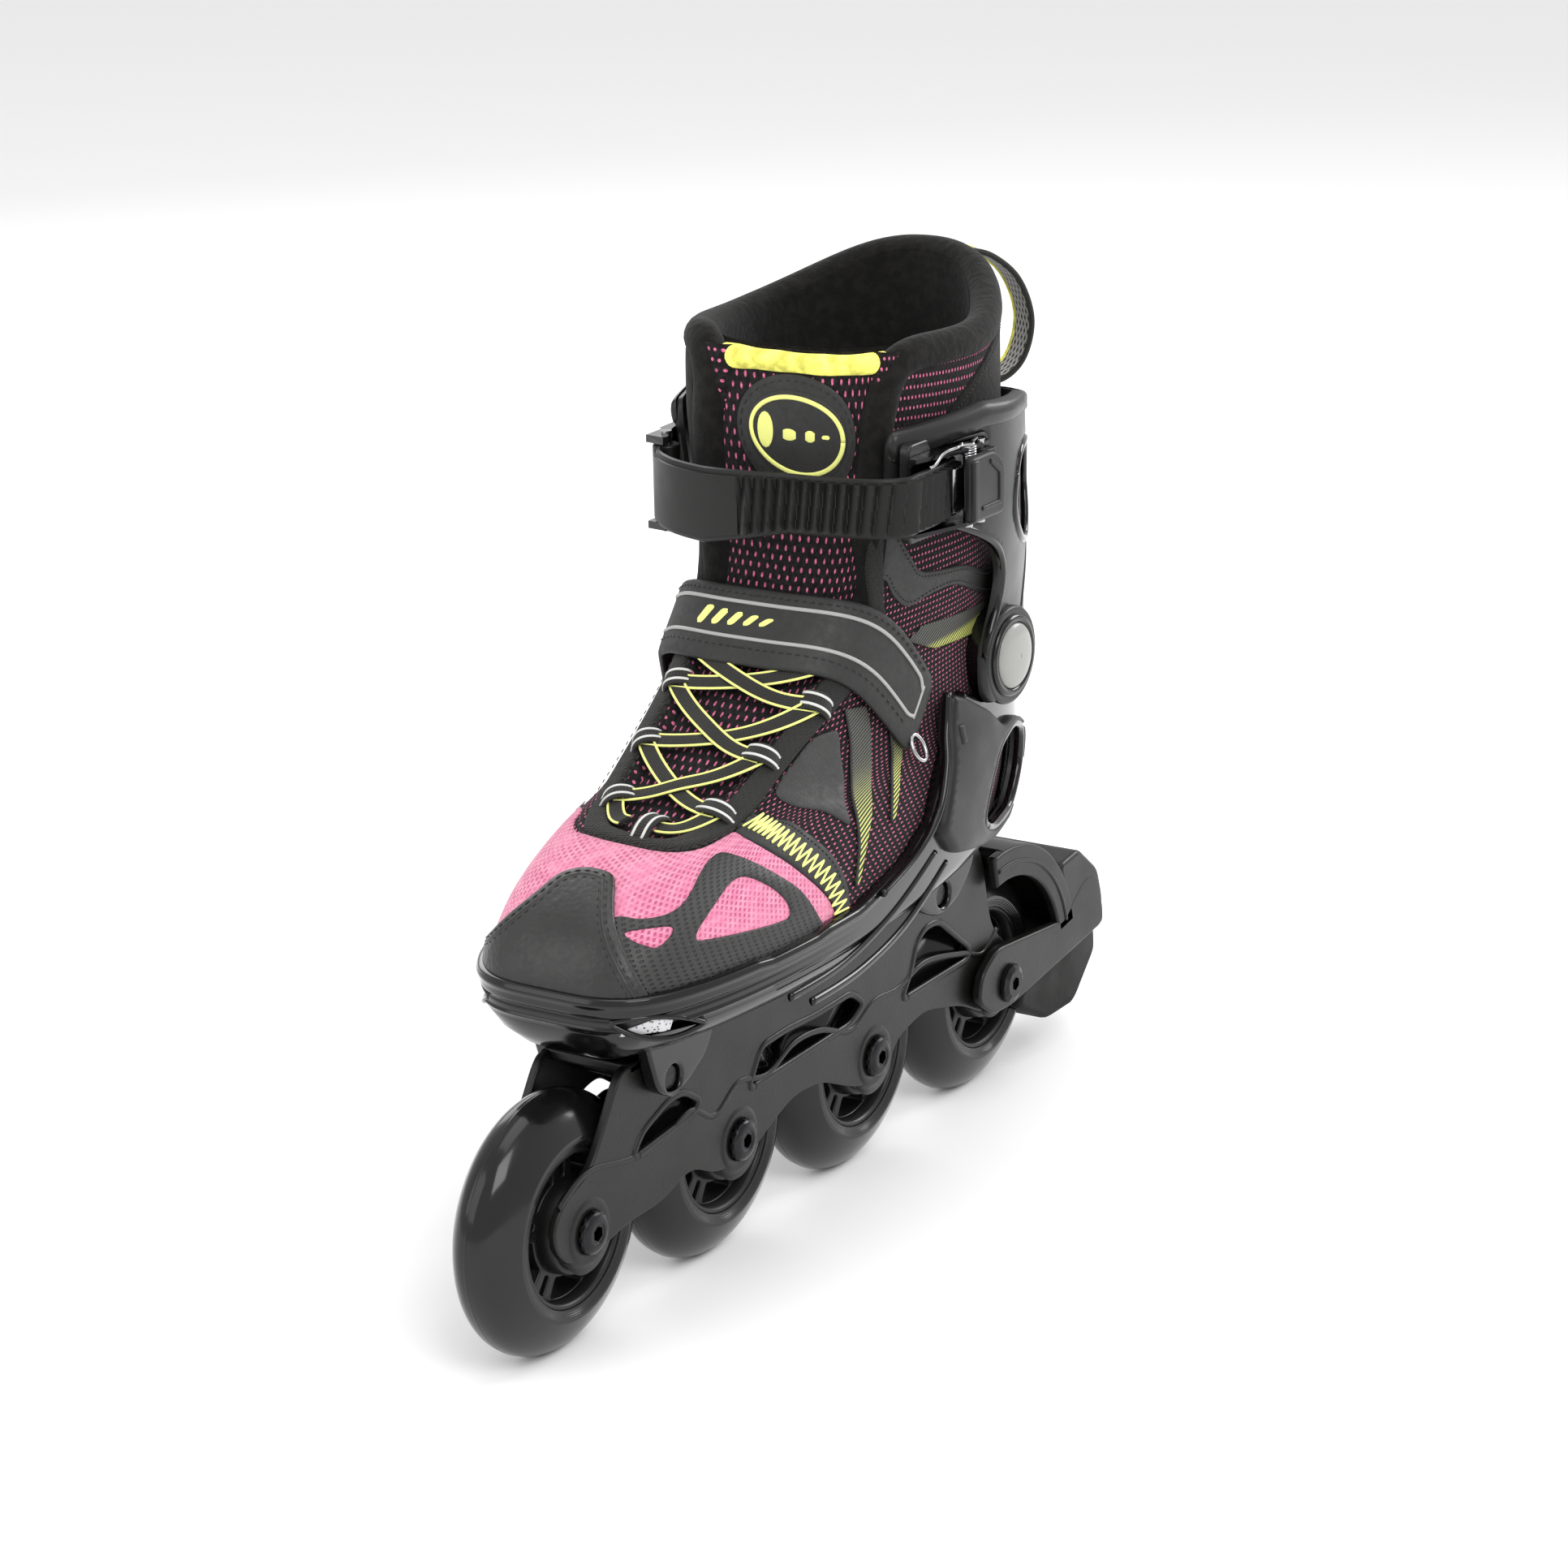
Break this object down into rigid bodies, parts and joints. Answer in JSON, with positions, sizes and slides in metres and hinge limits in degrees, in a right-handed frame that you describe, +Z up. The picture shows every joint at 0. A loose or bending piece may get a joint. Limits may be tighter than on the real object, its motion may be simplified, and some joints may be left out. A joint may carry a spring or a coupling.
{
  "type": "inline skate",
  "caption": "Inline skate with a padded soft boot in a rigid shell, hinged ankle cuff, ratchet and ladder strap, in-line wheels on bearings and a heel brake.",
  "frame": {"origin": "on the floor under the middle of the skate's box; the wheels' middle plane is y = 0", "axes": "+X towards the toe, +Y to the skater's left (outer side of this left skate), +Z up"},
  "size_m": [0.3665, 0.1125, 0.289],
  "materials": {
    "tyre": "glossy smoky-black urethane",
    "hub": "satin black nylon",
    "steel": "plain zinc-plated steel",
    "black_steel": "blackened steel",
    "frame": "black glass-filled nylon with a satin surface",
    "brake_rubber": "black brake rubber",
    "shell": "gloss black moulded shell",
    "vent_mesh": "silver-grey reflective mesh",
    "cuff": "satin black moulded cuff",
    "cap": "warm grey gloss cap",
    "knit": "black knit with pink dots and panels",
    "lining": "thick black fleece",
    "webbing": "black and grey woven webbing",
    "lace": "flat black lace with lime edges",
    "strap": "padded black strap with pale piping",
    "ladder": "matte black toothed strap",
    "lever": "black moulded lever"
  },
  "bodies": {
    "chassis": {"axle_1": "black_steel", "axle_bolt_1": "black_steel", "axle_2": "black_steel", "axle_bolt_2": "black_steel", "axle_3": "black_steel", "axle_bolt_3": "black_steel", "axle_4": "black_steel", "axle_bolt_4": "black_steel", "frame": "frame", "mount_bolt_front": "black_steel", "mount_bolt_rear": "black_steel", "brake_housing": "frame", "brake_pad": "brake_rubber", "brake_pad_bolt": "steel", "boot_upper": "knit", "tongue": "knit", "insole": "lining", "shell": "shell", "shell_rivet_left": "black_steel", "toe_vent_left": "vent_mesh", "shell_rivet_right": "black_steel", "toe_vent_right": "vent_mesh", "lace": "lace", "instep_strap": "strap", "strap_ring": "steel"},
    "wheel_1": {"wheel_1_tyre": "tyre", "wheel_1_hub": "hub", "wheel_1_bearing_left": "steel", "wheel_1_bearing_right": "steel", "wheel_1_spacer": "steel"},
    "wheel_2": {"wheel_2_tyre": "tyre", "wheel_2_hub": "hub", "wheel_2_bearing_left": "steel", "wheel_2_bearing_right": "steel", "wheel_2_spacer": "steel"},
    "wheel_3": {"wheel_3_tyre": "tyre", "wheel_3_hub": "hub", "wheel_3_bearing_left": "steel", "wheel_3_bearing_right": "steel", "wheel_3_spacer": "steel"},
    "wheel_4": {"wheel_4_tyre": "tyre", "wheel_4_hub": "hub", "wheel_4_bearing_left": "steel", "wheel_4_bearing_right": "steel", "wheel_4_spacer": "steel"},
    "cuff": {"cuff": "cuff", "cuff_rivet_left": "steel", "cuff_rivet_right": "steel", "cuff_cap_left": "cap", "cuff_cap_right": "cap", "boot_shaft": "lining", "tongue_top": "knit", "pull_loop": "webbing", "ratchet_frame": "black_steel", "ratchet_pin": "steel", "anchor_bracket": "shell", "anchor_pin": "steel"},
    "ratchet_lever": {"ratchet_lever": "lever"},
    "ratchet_pawl": {"ratchet_pawl": "steel"},
    "ladder_strap": {"ladder_strap": "ladder"}
  },
  "joints": [
    {"name": "wheel_1_spin", "type": "hinge", "parent": "chassis", "child": "wheel_1", "pos_m": [0.144, 0, 0.04], "axis": [0, 1, 0], "continuous": true},
    {"name": "wheel_2_spin", "type": "hinge", "parent": "chassis", "child": "wheel_2", "pos_m": [0.063, 0, 0.04], "axis": [0, 1, 0], "continuous": true},
    {"name": "wheel_3_spin", "type": "hinge", "parent": "chassis", "child": "wheel_3", "pos_m": [-0.018, 0, 0.04], "axis": [0, 1, 0], "continuous": true},
    {"name": "wheel_4_spin", "type": "hinge", "parent": "chassis", "child": "wheel_4", "pos_m": [-0.099, 0, 0.04], "axis": [0, 1, 0], "continuous": true},
    {"name": "cuff_flex", "type": "hinge", "parent": "chassis", "child": "cuff", "pos_m": [-0.0615, -0.004, 0.167], "axis": [0, 1, 0], "range_deg": [-3, 10], "stiffness_Nm_per_rad": 4},
    {"name": "lever_lift", "type": "hinge", "parent": "cuff", "child": "ratchet_lever", "pos_m": [-0.0305, 0.048, 0.2312], "axis": [0, 0, 1], "range_deg": [0, 75], "stiffness_Nm_per_rad": 0.03, "springref_deg": -17.19},
    {"name": "pawl_lift", "type": "hinge", "parent": "cuff", "child": "ratchet_pawl", "pos_m": [-0.023, 0.048, 0.2312], "axis": [0, 0, 1], "range_deg": [0, 12], "stiffness_Nm_per_rad": 0.03, "springref_deg": -11.46},
    {"name": "ladder_swing", "type": "hinge", "parent": "cuff", "child": "ladder_strap", "pos_m": [-0.0015, -0.048, 0.2265], "axis": [0, 0, -1], "range_deg": [0, 100]}
  ]
}
